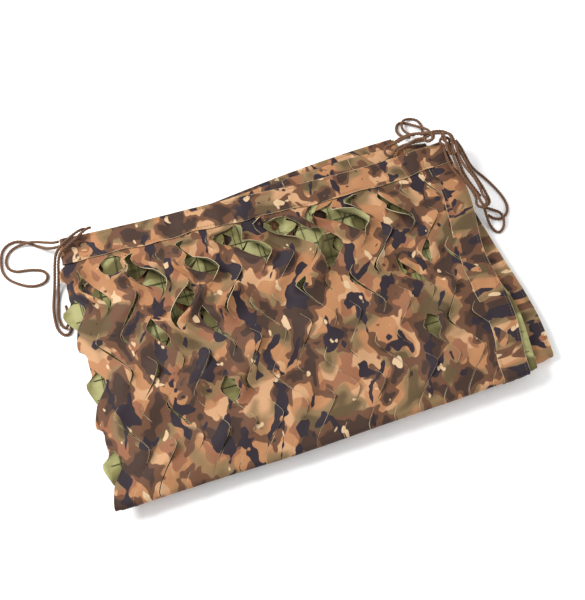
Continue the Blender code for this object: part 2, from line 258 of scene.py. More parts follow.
# %% [markdown]
# A hank is one cord laid to and fro. Its runs lie side by side and on top of each other inside an oval,
# so a loop can work them out: each run has its own place in the oval, and a round bight joins it to the
# next one. The table gives the middle line that the CAD solid has, and the runs' places from it, to the
# side and up.

# %% Routes of the gathered cords
BUNCHES = {
    "cord_right_hank": (
        (
            (236.5, 143, 30.5), (238, 132, 31), (237.5, 118, 31), (237, 104, 31), (238, 90, 31),
            (240.5, 76, 31), (243, 63, 30.5), (244.5, 52, 29), (245.5, 43, 26.5),
        ),
        ((-6.4, -1.2), (3.6, 1.6), (-3.0, 1.8), (6.6, -1.4), (0.2, -1.6)),
    ),
    "cord_right_arch": (
        (
            (163, 147.5, 23.6), (173, 152, 23.6), (186, 155.5, 24.6), (200, 155, 26.8), (212, 150.5, 30.4),
            (220, 146.5, 32),
        ),
        ((-4.5, -1.0), (3.8, -1.2), (-2.2, 2.0), (5.0, 1.9)),
    ),
}

# %% A cord laid to and fro
MIDDLE_STEP = 5  # mm between the points of a run
STRAY = 1.6  # mm that a run strays to each side
BIGHT_RADIUS = 2 * CORD / MM  # a limp cord bends no tighter than two of its diameters
BIGHT_INSET = 2  # mm that a bight with its runs far apart starts before the end of the middle line


def bunch_route(middle, runs):
    """The route of one cord that goes to and fro along a middle line, with a round bight between its runs."""
    line = smooth_line(middle, MIDDLE_STEP)
    forward = unit(np.gradient(line, axis=0))
    aside = unit(np.cross(forward, (0, 0, 1)))
    up = np.cross(aside, forward)
    share = np.linspace(0, 1, len(line))[:, None]
    spread = 1.05 + 0.45 * np.sin(PI * np.clip(1.3 * share, 0, 1)) ** 2

    def run(i):
        sideways, height = runs[i]
        wander = np.sin(2 * PI * share * (1 + 0.3 * (i % 3)) + 2.1 * i)
        return line + aside * (sideways * spread + STRAY * wander) + up * (height + 0.2 * wander)

    lines = [run(i) for i in range(len(runs))]
    route = []
    for i, this in enumerate(lines):
        there = i % 2 == 0
        route += list(this[2:-2] if there else this[-3:1:-1])
        if i + 1 < len(lines):
            end = -1 if there else 0
            out = forward[end] if there else -forward[end]
            start, stop = this[end], lines[i + 1][end]
            apart = np.linalg.norm(stop - start) / 2
            radius = max(apart, BIGHT_RADIUS)
            centre = (start + stop) / 2 - (BIGHT_INSET + radius - apart) * out
            for turn in (0.0, 0.25, 0.5, 0.75, 1.0):
                beside = (start - stop) / (2 * apart) * math.cos(PI * turn)
                route.append(centre + radius * (beside + out * math.sin(PI * turn)))
    return route


# %% Lay the cords
LAY_LENGTH = 11 * MM  # in which the strands go once round the cord
STRANDS = 3
STRAND_RING = (1.22, 1.08, 0.84, 1.08)  # the top of a strand, its flank, the groove and the next flank
CORD_RING = CORD / 2 * np.tile(STRAND_RING, STRANDS)
CORD_STEP = 0.9 * MM

routes = ROUTES | {name: bunch_route(middle, runs) for name, (middle, runs) in BUNCHES.items()}
cords = {name: smooth_line(np.array(route) * MM, CORD_STEP) for name, route in routes.items()}
cord_pieces = []
for name, line in cords.items():
    piece_name = name.replace("cord_", "") + "_cord"
    piece = add_tubes(piece_name, [line], CORD_RING, turn_per_metre=2 * PI / LAY_LENGTH)
    cord_pieces.append(piece)
    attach(piece, "root")
    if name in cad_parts:
        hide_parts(name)
    length = line_length(line)
    print(f"{piece.name}: {length:.3f} m")

# %% [markdown]
# ## The folds
#
# Every point of the cloth is named by its place on the flat net: u across it, from -480 mm at one side
# edge through 0 at the left fold to 480 mm at the other, and v along it, from the head edge to the foot
# edge. One function turns that into a point of the folded stack, so the cloth, its tapes, its strings and
# its stitches all share the folds. A cloth simulation could fold the net too, but eight plies full of
# slits are a heavy job for one, and its folds would end in places of their own. The tables are the CAD
# model's: the side edges of the stack, and its folds and free edges. Between their rows a smooth curve is
# read.

# %% Sizes of the folded stack
SHEET = 1.0 * MM  # thickness of the CAD model's cloth
PLY_PITCH = 1.8 * MM  # middle of the upper ply to middle of the lower ply
PANEL_PITCH = 6.6 * MM  # middle of one panel to middle of the next
PANELS = 4
HALF_WIDTH = 480 * MM
PANEL_LENGTH = 325 * MM
NET_LENGTH = PANELS * PANEL_LENGTH
TAPE_WIDTH = 32 * MM
TAPE_RISE = 1.3 * MM  # middle of the cloth to middle of a tape
HALF_TURN = PI / 2 * PLY_PITCH / 2 / HALF_WIDTH  # half of the left fold's round, as a share of half the net
HALF_FOLD = PI / 2 * PANEL_PITCH / 2 / PANEL_LENGTH  # half of a panel fold's round, as a share of a panel
LIFT_REACH = 36 * MM  # how far in from the edges the tapes underneath lift the stack
LIFT_EASE = 14 * MM

SIDE_EDGES = (
    # along, left, upper, lower
    (0.00, -236, 230, 221),
    (0.25, -245, 235, 220),
    (0.50, -243, 222, 217),
    (0.75, -247, 224, 230),
    (1.00, -250, 211, 221),
    (1.50, -241, 213, 213),
    (2.00, -238, 226, 214),
    (2.50, -243, 241, 222),
    (2.80, -245, 251, 232),
    (3.00, -246, 248, 234),
    (3.50, -242, 222, 214),
    (4.00, -237, 184, 180),
)

CROSS_EDGES = (
    # x, head, upper front fold, back fold, lower front fold, foot
    (-250, 157, -173, 149, -160, 138),
    (-150, 150, -172, 147, -161, 146),
    (-50, 145, -173, 150, -162, 158),
    (50, 138, -171, 156, -160, 169),
    (150, 137, -169, 158, -157, 175),
    (250, 142, -164, 142, -151, 174),
)

# %% Read the tables
def smooth_row(table, column, at):
    """The values of a column at places in the table's first column, on a smooth curve through the rows."""
    rows = np.array(table, float)
    places, values = rows[:, 0], rows[:, column]
    k = np.arange(len(rows))
    before, after = np.maximum(k - 1, 0), np.minimum(k + 1, len(rows) - 1)
    slopes = (values[after] - values[before]) / (places[after] - places[before])
    at = np.clip(at, places[0], places[-1])
    i = np.clip(np.searchsorted(places, at, "right") - 1, 0, len(rows) - 2)
    step = places[i + 1] - places[i]
    t = (at - places[i]) / step
    return (
        values[i] * (2 * t**3 - 3 * t**2 + 1) + slopes[i] * step * (t**3 - 2 * t**2 + t)
        + values[i + 1] * (3 * t**2 - 2 * t**3) + slopes[i + 1] * step * (t**3 - t**2)
    )


def ease(amount):
    """0 below 0 and 1 above 1, with a smooth slope between."""
    amount = np.clip(amount, 0, 1)
    return amount * amount * (3 - 2 * amount)


def ripple(turns):
    return np.sin(2 * PI * turns)


def side_edge(name, along):
    return smooth_row(SIDE_EDGES, {"left": 1, "upper": 2, "lower": 3}[name], along) * MM


def cross_edges(x):
    """Y of the head edge, the three folds and the foot edge, at x."""
    return np.stack([smooth_row(CROSS_EDGES, k + 1, x / MM) * MM for k in range(PANELS + 1)])


# %% The folded net
def panel_height(panel):
    return SHEET / 2 + PLY_PITCH / 2 + (PANELS - 1 - panel) * PANEL_PITCH


def swell(x, y):
    """How much thicker than even the stack lies, as a share of its height."""
    return 0.055 * ripple(x / 0.37 + y / 0.9 + 0.15) + 0.040 * ripple(y / 0.29 - x / 0.8 + 0.10)


def lift(x, y):
    """How far the tapes under the lowest panel hold the stack off the table."""
    edges = cross_edges(x)
    front, foot = edges[PANELS - 1], edges[PANELS]
    place = PANELS - 1 + np.clip((y - front) / (foot - front), 0, 1)
    inset = np.minimum(side_edge("upper", place) - x, foot - y)
    return TAPE_RISE * ease((LIFT_REACH + LIFT_EASE - inset) / LIFT_EASE)


def panel_line(along, x):
    """Y and Z of the middle of the two plies, and the way (y, z) from it to the upper ply."""
    half = PANEL_PITCH / 2
    edges = cross_edges(x)

    def edge(number):
        return np.take_along_axis(edges, np.clip(number, 0, PANELS)[None], 0)[0]

    fold = np.rint(along).astype(int)
    turning = (fold > 0) & (fold < PANELS) & (np.abs(along - fold) < HALF_FOLD)
    outward = np.where(fold % 2, -1.0, 1.0)
    turn = (along - fold + HALF_FOLD) / (2 * HALF_FOLD) * PI
    turn_y = edge(fold) - outward * half * (1 - np.sin(turn))
    turn_z = panel_height(fold - 1) - half + half * np.cos(turn)

    panel = np.clip(np.floor(along).astype(int), 0, PANELS - 1)
    opens, closes = panel > 0, panel < PANELS - 1
    inward = np.where(panel % 2, 1.0, -1.0)
    first, last = panel + HALF_FOLD * opens, panel + 1 - HALF_FOLD * closes
    start = edge(panel) + inward * half * opens
    end = edge(panel + 1) - inward * half * closes
    flat_y = start + (end - start) * (along - first) / (last - first)

    y = np.where(turning, turn_y, flat_y)
    z = np.where(turning, turn_z, panel_height(panel))
    way_y = np.where(turning, -np.sin(turn), 0.0)
    way_z = np.where(turning, -outward * np.cos(turn), -inward)
    return y, z, way_y, way_z


def net_middle(u, v, ply, straight):
    """The folded place of points of the flat net, on a ply that is 1 for the upper and -1 for the lower.

    Where straight is 1, a point near the left fold carries on in the plane of its ply instead of turning.
    """
    across, along = u / HALF_WIDTH, v / PANEL_LENGTH
    left = side_edge("left", along) + PLY_PITCH / 2
    right = {side: side_edge(name, along) for side, name in ((1, "upper"), (-1, "lower"))}

    def beside(side, share):
        edge = np.where(side > 0, right[1], right[-1])
        return left + (edge - left) * (share - HALF_TURN) / (1 - HALF_TURN)

    turning = np.abs(across) < HALF_TURN
    turn = np.clip(across / HALF_TURN, -1, 1) * PI / 2
    folded_x = np.where(turning, left - PLY_PITCH / 2 * np.cos(turn), beside(across, np.abs(across)))
    folded_offset = PLY_PITCH / 2 * np.sin(turn)
    x = folded_x + (beside(ply, ply * across) - folded_x) * straight
    offset = folded_offset + (ply * PLY_PITCH / 2 - folded_offset) * straight
    y, z, way_y, way_z = panel_line(along, x)
    y = y + offset * way_y
    z = z + offset * way_z
    z = SHEET / 2 + (z - SHEET / 2) * (1 + swell(x, y)) + lift(x, y)
    return np.stack([x, y, z], -1)


def folded(u, v, out=0.0, ply=None, straight=0.0):
    """Points of the stack for points of the flat net, this far out from it on its printed side."""
    u, v = np.broadcast_arrays(np.asarray(u, float), np.asarray(v, float))
    ply = np.where(u < 0, -1.0, 1.0) if ply is None else ply
    nudge = 0.05 * MM
    by_u = net_middle(u + nudge, v, ply, straight) - net_middle(u - nudge, v, ply, straight)
    by_v = net_middle(u, v + nudge, ply, straight) - net_middle(u, v - nudge, ply, straight)
    print_side = unit(np.cross(by_v, by_u))
    return net_middle(u, v, ply, straight) + np.asarray(out)[..., None] * print_side


# %% [markdown]
# ## The slits
#
# A machine cuts the cloth in waves that run along it, 30 mm apart and side by side. Each wave is cut for
# most of its length and left whole for a short bridge, half a wave further on from line to line, so the
# cloth can't fall apart. The round tips of the waves are what look like leaves: they lift, curl and slide
# over each other.
#
# Because all the waves run alike, a plain grid can follow them: its lines of points along the net are
# bent into waves, and a slit is a run of edges that is split. No boolean is needed, and the print keeps
# its place on the cloth.

# %% The waves
WAVE = 91 * MM  # length of one wave
SWING = 15 * MM  # how far a wave goes to each side
LINE_PITCH = 30 * MM
LINES = round(HALF_WIDTH / LINE_PITCH)  # lines are numbered from -LINES to LINES, and those two are the edges
BRIDGE = 13 * MM  # left whole between two slits of a line
HALF_SLIT = (WAVE - BRIDGE) / 2
MARGIN = TAPE_WIDTH + 2 * MM  # cloth under the tapes isn't slit
MARGIN_EASE = 12 * MM  # slits open less within this of the margin
TIP = 3 * MM  # the first wave's tip is this far from the head edge
POINTED = 0.96  # how pointed the waves are, from 0 for a sine to 1 for a zigzag


def wave(v):
    """From -1 to 1 along the net: a zigzag with round tips."""
    return np.arcsin(POINTED * np.cos(2 * PI * (v - TIP) / WAVE)) / math.asin(POINTED)


def wave_u(line, v):
    """Where a slit line, or a place between two lines, runs on the flat net."""
    inset = HALF_WIDTH - np.abs(line * LINE_PITCH)
    calm = ease(inset / (1.2 * LINE_PITCH))
    return line * LINE_PITCH + SWING * calm * wave(v)


def slit_middle(line, v):
    """The middle of the slit nearest to v on a line. On odd lines the slits lie half a wave further on."""
    first = TIP + WAVE / 4 + (line % 2) * WAVE / 2
    return first + np.round((v - first) / WAVE) * WAVE


def slit_share(line, v):
    """0 at a slit's ends and outside it, rising to 1 at its middle."""
    off = np.abs(v - slit_middle(line, v)) / HALF_SLIT
    whole = (np.abs(line) >= LINES - 0.5) | (v < MARGIN) | (v > NET_LENGTH - MARGIN)
    rim = np.minimum(v - MARGIN, NET_LENGTH - MARGIN - v) / MARGIN_EASE
    share = np.clip(1 - off**2.5, 0, 1) * np.clip(rim, 0, 1)
    return np.where(whole, 0.0, share)


# %% Rows and columns of the cloth's grid
STRIP = (0.0, 0.03, 0.15, 0.30, 0.50, 0.70, 0.85, 0.97)  # columns from one slit line to the next
CELLS = len(STRIP)
TOP_STEP = WAVE / 19
INNER_STEP = WAVE / 8
FOLD_ROWS = 6


def net_rows():
    """Places along the net, close together on the top panel and round the folds and wider apart inside."""
    turn = HALF_FOLD * PANEL_LENGTH
    rows = []
    for panel in range(PANELS):
        start = panel * PANEL_LENGTH + (turn if panel else 0)
        end = (panel + 1) * PANEL_LENGTH - (turn if panel < PANELS - 1 else 0)
        step = TOP_STEP if panel == 0 else INNER_STEP
        rows += list(np.linspace(start, end, round((end - start) / step) + 1))
        if panel < PANELS - 1:
            rows += list(np.linspace(end, end + 2 * turn, FOLD_ROWS)[1:-1])
    return np.array(rows)


rows_v = net_rows()
column_line = np.array([line + share for line in range(-LINES, LINES) for share in STRIP] + [LINES])
print(len(column_line), "columns and", len(rows_v), "rows")

# %% [markdown]
# ## How the slits open
#
# On the top panel the cloth is loose. Some slits gape and show the green reverse of the ply below, and
# the largest gaps are the ones that the CAD model has too. The tables give where they are in the stack,
# because their places are part of how this net lies. Elsewhere each slit gets a small random opening and
# each leaf a random lift, more at the back left, where the net is ruffled, than at the front right, where
# it lies flat. A seed for each draw gives the same net on every run. The hidden plies only part a little.

# %% Openings and leaves
GAPS = (
    # x, y, length, width in mm
    (-190, 102, 40, 26), (-160, 74, 28, 16), (-99, 70, 28, 15), (-121, 28, 36, 14), (-159, 4, 32, 9),
    (-62, 97, 30, 16), (-33, 70, 28, 11), (24, 80, 40, 26), (60, 92, 36, 20), (32, 113, 22, 10),
    (60, 42, 36, 16), (90, 66, 28, 11), (147, 64, 26, 14), (134, -15, 26, 13), (158, 6, 22, 6),
    (131, -80, 28, 14), (-218, 76, 40, 16), (-104, 4, 26, 8), (-99, -82, 26, 6), (14, 15, 24, 7),
)
DEEP_GAPS = (
    # x, y, length, width in mm, in the lower ply
    (-158, 66, 30, 17), (34, 108, 30, 15), (156, 6, 28, 12), (-118, 18, 32, 13), (-96, 62, 26, 12),
    (62, 86, 28, 14), (-190, 92, 26, 9), (22, 66, 28, 13), (-62, 90, 24, 10), (60, 36, 26, 11),
    (134, -18, 20, 6), (146, 58, 22, 9), (-34, 60, 24, 9), (0, 100, 24, 10),
)

# %% Where the slits lie in the stack
all_lines = np.arange(-LINES, LINES + 1)
line_grid, row_grid = np.meshgrid(all_lines, rows_v, indexing="ij")
slit_places = folded(wave_u(line_grid, row_grid), row_grid)
slit_opens = slit_share(line_grid, row_grid)
slit_number = np.round((slit_middle(line_grid, row_grid) - TIP) / (WAVE / 2)).astype(int)
upper_top = (row_grid < PANEL_LENGTH) & (line_grid > 0)  # the upper ply of the top panel
lower_top = (row_grid < PANEL_LENGTH) & (line_grid < 0)


def ruffle(x, y):
    """How ruffled the top of the net is at a place: 1 at the back left, less towards the front right."""
    back = (y / MM + 170) / 320  # 0 at the front fold and 1 at the head edge
    left = (230 - x / MM) / 470  # 0 at the side edge and 1 at the left fold
    return 0.30 + 0.70 * ease(0.2 + 0.65 * back + 0.45 * left - 0.35)


def random_sides(left_seed, right_seed):
    """Random numbers from 0 to 1 for the left and the right side of each slit, the same on all its rows."""
    tables = [
        np.random.default_rng(seed).random((len(all_lines), slit_number.max() + 2))
        for seed in (left_seed, right_seed)
    ]
    return np.stack([np.take_along_axis(table, slit_number, 1) for table in tables])


# %% How far the sides of a slit part
# These arrays have the left side of each slit first, and then its right side. A tip that points right belongs
# to the cloth on the left. Where a side moves by less than nothing, its leaf slides over the other side. The
# numbers are in millimetres up to the last factor.
ruffled = np.where(upper_top, ruffle(slit_places[..., 0], slit_places[..., 1]), 0.12)
tips = np.clip([wave(row_grid), -wave(row_grid)], 0, 1) ** 1.2
overlap = tips * (1.0 + 4.5 * random_sides(7, 8)) * np.where(upper_top, 1, 0.2)
gape = ruffled * (0.2 + 4.5 * random_sides(1, 2) ** 2)
parted = slit_opens * (gape - overlap) * MM

# %% Open the gaps
CLOSED_COST = 30 * MM  # a closed slit counts as this much further away
ROW_REACH = 10 * MM  # and one without a row this near doesn't count


def nearest_slit(x, y, wanted):
    """The line and the row of the open slit that is nearest to a place."""
    near = np.where(wanted, np.abs(slit_places[..., 1] - y), np.inf)
    row = near.argmin(axis=1)
    lines_here = np.arange(len(all_lines))
    away = np.abs(slit_places[lines_here, row, 0] - x)
    cost = away + CLOSED_COST * (1 - slit_opens[lines_here, row])
    k = int(np.where(near.min(axis=1) < ROW_REACH, cost, np.inf).argmin())
    return k, row[k]


def open_gaps(gaps, wanted):
    """Opens the slit nearest to each gap so far that its sides lie where the gap's sides are."""
    for x, y, length, width in gaps:
        x, y, length, width = x * MM, y * MM, length * MM, width * MM
        k, row = nearest_slit(x, y, wanted)
        reach = np.exp(-(((slit_places[k, :, 1] - y) / (0.5 * length)) ** 4))
        reach = np.where(wanted[k], reach * np.minimum(1, 2.2 * slit_opens[k]), 0.0)
        to_line = slit_places[k, row, 0] - x
        parted[0, k] = np.maximum(parted[0, k], reach * (width / 2 + to_line))
        parted[1, k] = np.maximum(parted[1, k], reach * (width / 2 - to_line))


open_gaps(GAPS, upper_top)
open_gaps(DEEP_GAPS, lower_top)
print("widest gap:", round(float(parted.sum(0).max() / MM), 1), "mm")

# %% Lift of the leaves beside each slit
fold_off = np.abs(row_grid / PANEL_LENGTH - np.rint(row_grid / PANEL_LENGTH)) * PANEL_LENGTH
calm_fold = 0.25 + 0.75 * ease((fold_off - 4 * MM) / (14 * MM))
looseness = np.where(upper_top, ruffled, 0.10)
base_lift = (0.3 + 1.6 * random_sides(3, 3)) * looseness
tip_lift = tips * (2.4 + 13.0 * looseness * random_sides(4, 6)) * np.where(upper_top, 1, 0.3)
lifted = slit_opens * calm_fold * (base_lift + tip_lift) * MM

# Under an opening the leaves of the lower ply rise on their green side, and part
by_opening = np.zeros(slit_opens.shape)
for x, y, length, _ in GAPS:
    off = np.hypot(slit_places[..., 0] - x * MM, slit_places[..., 1] - y * MM)
    by_opening = np.maximum(by_opening, np.exp(-((off / (0.6 * length * MM)) ** 2)))
by_opening = by_opening * lower_top * slit_opens
lifted = lifted - by_opening * tips * (1.0 + 4.0 * random_sides(9, 10)) * MM
parted = parted + by_opening * 2.4 * random_sides(11, 12) * MM

# %% [markdown]
# A few leaves have turned over and show their green backs. The table says where, on which side of a slit,
# and how far they curl. A curled leaf follows an arc from its base to its tip, so it keeps its length, as
# a bend modifier would do on a piece of its own.

# %% Leaves that curl over
CURLS = (
    # x, y, length in mm, side of the slit (0 left, 1 right), turn in degrees
    (18, 84, 36, 0, 190), (52, 100, 30, 1, 175), (60, 50, 32, 0, 165), (-56, 100, 30, 1, 160),
    (-186, 96, 34, 0, 100), (-34, 66, 30, 1, 150), (-100, 64, 28, 1, 120), (-118, 30, 34, 0, 90),
    (98, 98, 30, 0, 160), (-160, 70, 28, 1, 110), (148, 62, 24, 0, 110), (-10, 112, 26, 1, 185),
    (-152, 116, 24, 0, 110), (-60, 18, 30, 1, 90), (14, 12, 26, 0, 80), (104, 14, 26, 1, 70),
    (84, 70, 26, 1, 170), (36, 60, 24, 1, 150), (-84, 112, 26, 0, 140),
)
CURL_BASE = 15 * MM  # a curl begins this far from its slit

curls = np.zeros(parted.shape)
for x, y, length, side, degrees in CURLS:
    k, _ = nearest_slit(x * MM, y * MM, upper_top)
    reach = np.exp(-(((slit_places[k, :, 1] - y * MM) / (0.5 * length * MM)) ** 4))
    turn = np.where(upper_top[k], reach * ease(1.4 * slit_opens[k]), 0.0) * math.radians(degrees)
    curls[side, k] = np.maximum(curls[side, k], turn)
print(len(CURLS), "leaves curl over")

# %% [markdown]
# ## The cloth
#
# `create_grid` makes the grid and `split_edges` opens its slits. Each point then knows between which two
# slit lines it lies, and takes its share of how their sides move: sideways, which opens the gap, and out,
# which lifts the leaf. At the left fold the tips don't turn with the fold. They stick out of it, printed
# side up from the upper ply and green side up from the lower one, which makes the fold's ragged edge.
#
# Solidify gives the sheet its two faces and its cut edges, each with a material of its own.

# %% Grid with slits
def slit_grid():
    """The flat grid with its slits, each point's column and row, and the side of the slit it lies on."""
    grid = bmesh.new()
    columns, rows = len(column_line) - 1, len(rows_v) - 1
    bmesh.ops.create_grid(grid, x_segments=columns, y_segments=rows, size=0.5)

    def place(corner):
        return round((corner.co.x + 0.5) * columns), round((corner.co.y + 0.5) * rows)

    middle_v = (rows_v[1:] + rows_v[:-1]) / 2
    cut = {line: slit_share(line, middle_v) > 0.02 for line in range(1 - LINES, LINES)}
    slits = []
    for edge in grid.edges:
        (i, j), (m, n) = place(edge.verts[0]), place(edge.verts[1])
        if i == m and i % CELLS == 0 and 0 < i < columns and cut[i // CELLS - LINES][min(j, n)]:
            slits.append(edge)
    bmesh.ops.split_edges(grid, edges=slits)
    grid.verts.index_update()
    steps = np.array([place(corner) for corner in grid.verts])
    sides = np.zeros(len(steps), int)
    for corner in grid.verts:
        if steps[corner.index, 0] % CELLS == 0:
            ways = {face.calc_center_median().x > corner.co.x for face in corner.link_faces}
            if len(ways) == 1:
                sides[corner.index] = 1 if ways.pop() else -1
    return grid, steps, sides, len(slits)


grid, steps, sides, slit_edges = slit_grid()
print(len(steps), "points,", slit_edges, "slit edges")

# %% Shape the cloth
column, row = steps[:, 0], steps[:, 1]
line_here, v_here = column_line[column], rows_v[row]
u_flat = wave_u(line_here, v_here)

strip = np.floor(line_here + 1e-6).astype(int)
strip = np.where((column % CELLS == 0) & (sides < 0), strip - 1, strip)
strip = np.clip(strip, -LINES, LINES - 1)
ply = np.where(strip < 0, -1.0, 1.0)
from_left = np.clip(line_here - strip, 0, 1)  # 0 on the slit line to the left of the strip, 1 on the next
joined = (column % CELLS == 0) & (sides == 0)

# %% Move the leaves apart, out and round
LEAF_REACH = 0.36  # how far into its strip a leaf is lifted, as a share of the strip


def curled(turn, from_slit):
    """How far a point beside a slit draws back and rises where its leaf curls by this turn."""
    past = np.maximum(CURL_BASE - from_slit, 0)
    arc = CURL_BASE / np.maximum(turn, 1e-6)
    angle = past / arc
    back, up = past - arc * np.sin(angle), arc * (1 - np.cos(angle))
    return np.where(turn > 0, back, 0), np.where(turn > 0, up, 0)


push = np.zeros(len(steps))
out_here = np.zeros(len(steps))
rise = np.zeros(len(steps))
squeeze = np.zeros(len(steps))
for side, line, off, way in ((1, strip + LINES, from_left, 1), (0, strip + 1 + LINES, 1 - from_left, -1)):
    apart = parted[side, line, row]
    back, up = curled(curls[side, line, row], off * LINE_PITCH)
    push += way * (apart * (1 - ease(off)) + back)
    out_here += lifted[side, line, row] * np.exp(-((off / LEAF_REACH) ** 2))
    rise += up
    squeeze += apart * np.sin(PI * from_left)
push = np.where(joined, 0.0, push)
out_here = np.where(joined, 0.5, 1.0) * out_here + np.where(joined, 0.0, rise)

# %% Billows of the top ply
top_ply = (v_here < PANEL_LENGTH) & (ply > 0)
inset_u = np.minimum(u_flat, HALF_WIDTH - TAPE_WIDTH - u_flat)
inset_v = np.minimum(v_here - TAPE_WIDTH, PANEL_LENGTH - v_here)
loose = ease(inset_u / (45 * MM)) * ease(inset_v / (30 * MM)) * top_ply
rest = net_middle(u_flat, v_here, ply, 0.0)
x, y = rest[:, 0], rest[:, 1]
billow = (
    1.0 + 0.9 * ripple(x / 0.083 + y / 0.31 + 0.2) + 0.8 * ripple(y / 0.071 - x / 0.25 + 0.6)
    + 0.6 * ripple(x / 0.047 - y / 0.061)
) * (0.35 + 0.65 * ruffle(x, y))
out_here = out_here + loose * ((1.3 + 1.9 * billow) * MM + 0.5 * squeeze)

# %% Leaves that stick out of the left fold
BIG_LOBE = 125 * MM  # how far along the net the leaves of the lower ply stick out most
SAG = 0.018 / MM  # how a leaf bends down with the square of how far it sticks out
LOWEST = 0.4 * MM

lobe = 1 - np.abs(v_here - slit_middle(0, v_here)) / HALF_SLIT
lobe = np.where(slit_share(0, v_here) > 0, ease(lobe / 0.34), 0.0)
lobe_reach = np.where(ply > 0, 0.70, 0.75 + 0.25 * np.exp(-(((v_here - BIG_LOBE) / (35 * MM)) ** 2)))
lobe_reach = np.where(v_here < PANEL_LENGTH, lobe_reach, 0.35)
beside_fold = ((strip == 0) | (strip == -1)) & ~joined
stick_out = np.where(beside_fold, lobe * lobe_reach, 0.0)
cloth_places = folded(u_flat + push, v_here, out_here, ply, stick_out)
beyond = np.maximum(side_edge("left", v_here / PANEL_LENGTH) - cloth_places[:, 0], 0) * stick_out
cloth_places[:, 2] = np.maximum(cloth_places[:, 2] - SAG * beyond**2, LOWEST)
print("cloth reaches", np.round(cloth_places.min(0) / MM, 1), np.round(cloth_places.max(0) / MM, 1))

# %% Make the cloth's mesh
CLOTH = 0.55 * MM  # thickness
SHEET_SMOOTH = math.radians(55)  # edges sharper than this aren't shaded smooth


def finished_sheet(name, grid, places, flat, thickness, cut=None):
    """A mesh object of a sheet with two faces and a rim, from a grid, its points' places and its flat places.

    cut is 1 for the points on a cut edge, or on a tape's folded edge that gets a painted highlight, and goes
    in a UV map of its own.
    """
    bmesh.ops.reverse_faces(grid, faces=grid.faces[:])
    raw = bpy.data.meshes.new(name + "_raw")
    grid.to_mesh(raw)
    grid.free()
    raw.vertices.foreach_set("co", places.astype(np.float32).ravel())
    corner_points = np.zeros(len(raw.loops), np.int32)
    raw.loops.foreach_get("vertex_index", corner_points)
    raw.uv_layers.new(name="flat").data.foreach_set("uv", flat[corner_points].astype(np.float32).ravel())
    if cut is not None:
        cut_map = np.stack([cut, cut], -1)[corner_points]
        raw.uv_layers.new(name="cut").data.foreach_set("uv", cut_map.astype(np.float32).ravel())
    raw.update()
    for _ in range(3):
        raw.materials.append(None)
    draft = bpy.data.objects.new(name + "_draft", raw)
    bpy.context.scene.collection.objects.link(draft)
    shell = draft.modifiers.new("thickness", "SOLIDIFY")
    shell.thickness = thickness
    shell.offset = 0
    shell.material_offset = 1
    shell.material_offset_rim = 2
    mesh = bpy.data.meshes.new_from_object(draft.evaluated_get(bpy.context.evaluated_depsgraph_get()))
    bpy.data.objects.remove(draft)
    mesh.name = name
    mesh.shade_smooth()
    mesh.set_sharp_from_angle(angle=SHEET_SMOOTH)
    piece = bpy.data.objects.new(name, mesh)
    bpy.context.scene.collection.objects.link(piece)
    return piece


on_cut = np.where(sides != 0, 1.0, 0.0)
net_cloth = finished_sheet("leaf_cloth", grid, cloth_places, np.stack([u_flat, v_here], -1), CLOTH, on_cut)
print("cloth triangles:", sum(len(face.vertices) - 2 for face in net_cloth.data.polygons))

# %% [markdown]
# ## The border tapes
#
# A tape 32 mm wide is sewn over each edge of the net, on the printed side. It is a band with its edges
# turned in, so it is a little thicker along them, and the two rows of stitches pull a shallow groove and
# small puckers into it. A thin pale line along its folded edges is a painted highlight. It is made like
# the cloth, on a finer grid, and goes round the same folds.

# %% Tapes
TAPE_THICK = 0.8 * MM
STITCH_INSET = 3.5 * MM


def band_relief(across, along):
    """How far a tape's surface stands off even: across is the distance from its nearer edge."""
    groove = -0.28 * np.exp(-(((across - STITCH_INSET) / (1.3 * MM)) ** 2))
    near_seam = np.exp(-(((across - STITCH_INSET) / (3 * MM)) ** 2))
    puckers = 0.16 * ripple(along / (7.3 * MM)) * near_seam
    edge = 0.15 * np.exp(-((across / (1.5 * MM)) ** 2))
    slack = 0.5 * ripple(along / 0.061 + across / 0.05) + 0.4 * np.sin(2 * PI * along / 0.037 + 1)
    wrinkles = (
        0.8 * ripple(along / 0.043 + across / 0.06) * np.sin(2 * PI * along / 0.21 + 0.7)
        + 0.6 * ripple(along / 0.029 - across / 0.05) * ripple(along / 0.157)
    )
    free = 0.2 + 0.8 * ease((across - 5 * MM) / (8 * MM))
    return (groove + puckers + edge + (slack + wrinkles) * free) * MM


def band_waver(along):
    """How far a tape's inner edge strays from straight."""
    return (np.sin(2 * PI * along / 0.097 + 0.6) + 0.6 * ripple(along / 0.041)) * MM


# %% Steps along the tapes and strings
def even_steps(first, last, step):
    return np.round(np.linspace(first, last, round((last - first) / step) + 1), 6)


def long_steps(first, last, step):
    """Even steps, with closer ones round each fold of the panels."""
    turn = HALF_FOLD * PANEL_LENGTH
    places = set(even_steps(first, last, step))
    for fold in range(1, PANELS):
        middle = fold * PANEL_LENGTH
        if first < middle < last:
            places = {p for p in places if abs(p - middle) > turn + 1 * MM}
            places |= set(np.round(np.linspace(middle - turn, middle + turn, 7), 6))
    return np.array(sorted(places))


def cross_steps(first, last, step):
    """Even steps, with closer ones round the left fold."""
    turn = HALF_TURN * HALF_WIDTH
    places = {p for p in even_steps(first, last, step) if abs(p) > 2.5 * MM}
    return np.array(sorted(places | set(np.round(np.linspace(-turn, turn, 5), 6))))


# %% Make the tapes
TAPE_COLUMNS = np.array([0, 1, 2.4, 3.5, 4.6, 7, 12, 16, 20, 25, 27.4, 28.5, 29.6, 31, 32]) * MM
TAPE_STEP = 4 * MM
SIDE_START = TAPE_WIDTH + 0.6 * MM  # the side tapes stop short of the head and foot tapes


